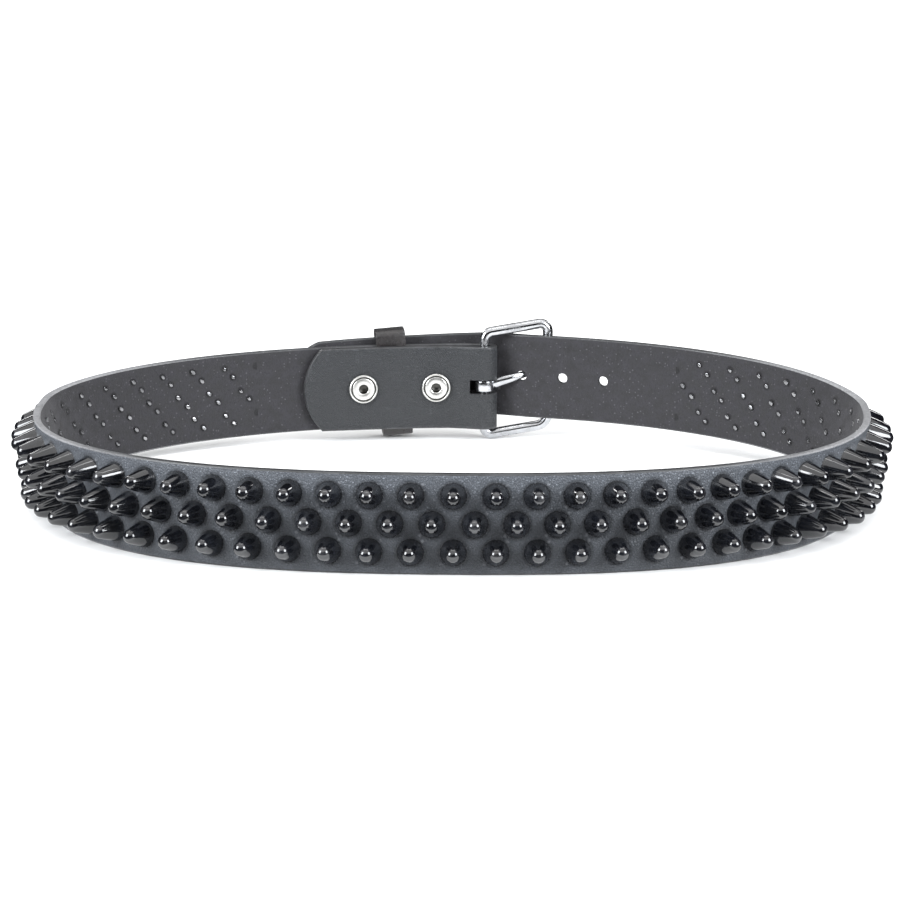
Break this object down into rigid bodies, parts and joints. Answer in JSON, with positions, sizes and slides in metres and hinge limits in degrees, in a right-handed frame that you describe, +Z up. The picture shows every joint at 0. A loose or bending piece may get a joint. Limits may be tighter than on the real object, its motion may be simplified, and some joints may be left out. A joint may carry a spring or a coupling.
{
  "type": "studded belt",
  "caption": "Black leather waist belt with rows of round-tipped cone studs, a wire buckle and tongue, a keeper and snaps, fastened into an oval and standing on its edge.",
  "frame": {"origin": "on the floor under the middle of the whole belt", "axes": "+Z up out of the waist opening, -Y towards the studded front, +X along the width with the buckle just right of the middle of the rear"},
  "size_m": [0.3672, 0.2601, 0.0551],
  "materials": {
    "strap_leather": "black grain leather, fine pebble, soft sheen, flesh side matte charcoal",
    "stud_gloss": "black gloss on cast metal cones",
    "buckle_metal": "bright nickel plate",
    "keeper_leather": "black leather with paler cut edges",
    "snap_metal": "nickel plate with a spun ring"
  },
  "bodies": {
    "root": {"studded_strap": "strap_leather", "buckle_frame": "buckle_metal", "buckle_tongue": "buckle_metal", "keeper_loop": "keeper_leather", "snap_left": "snap_metal", "snap_right": "snap_metal"}
  },
  "joints": []
}
